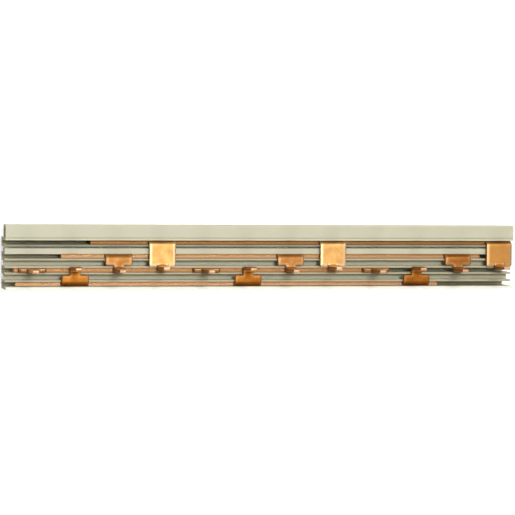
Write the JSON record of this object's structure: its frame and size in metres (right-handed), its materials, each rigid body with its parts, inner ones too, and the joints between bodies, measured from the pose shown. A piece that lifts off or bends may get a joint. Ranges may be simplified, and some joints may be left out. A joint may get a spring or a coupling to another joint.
{
  "type": "comb busbar",
  "caption": "Pin comb busbar: copper combs in an insulating profile, cranked so that all their pins stand in one row for the terminals of modular breakers.",
  "frame": {"origin": "middle of the base of the bounding box, on the back of the housing", "axes": "+X along the length, +Y across the poles towards the flange, +Z along the pins, away from the back of the housing"},
  "size_m": [0.2096, 0.026, 0.0262],
  "materials": {
    "housing_plastic": "satin extruded hard PVC, cream with an olive cast",
    "comb_copper": "bare rolled copper, satin"
  },
  "bodies": {
    "root": {"housing": "housing_plastic", "comb_1": "comb_copper", "comb_2": "comb_copper", "comb_3": "comb_copper", "comb_4": "comb_copper"}
  },
  "joints": []
}
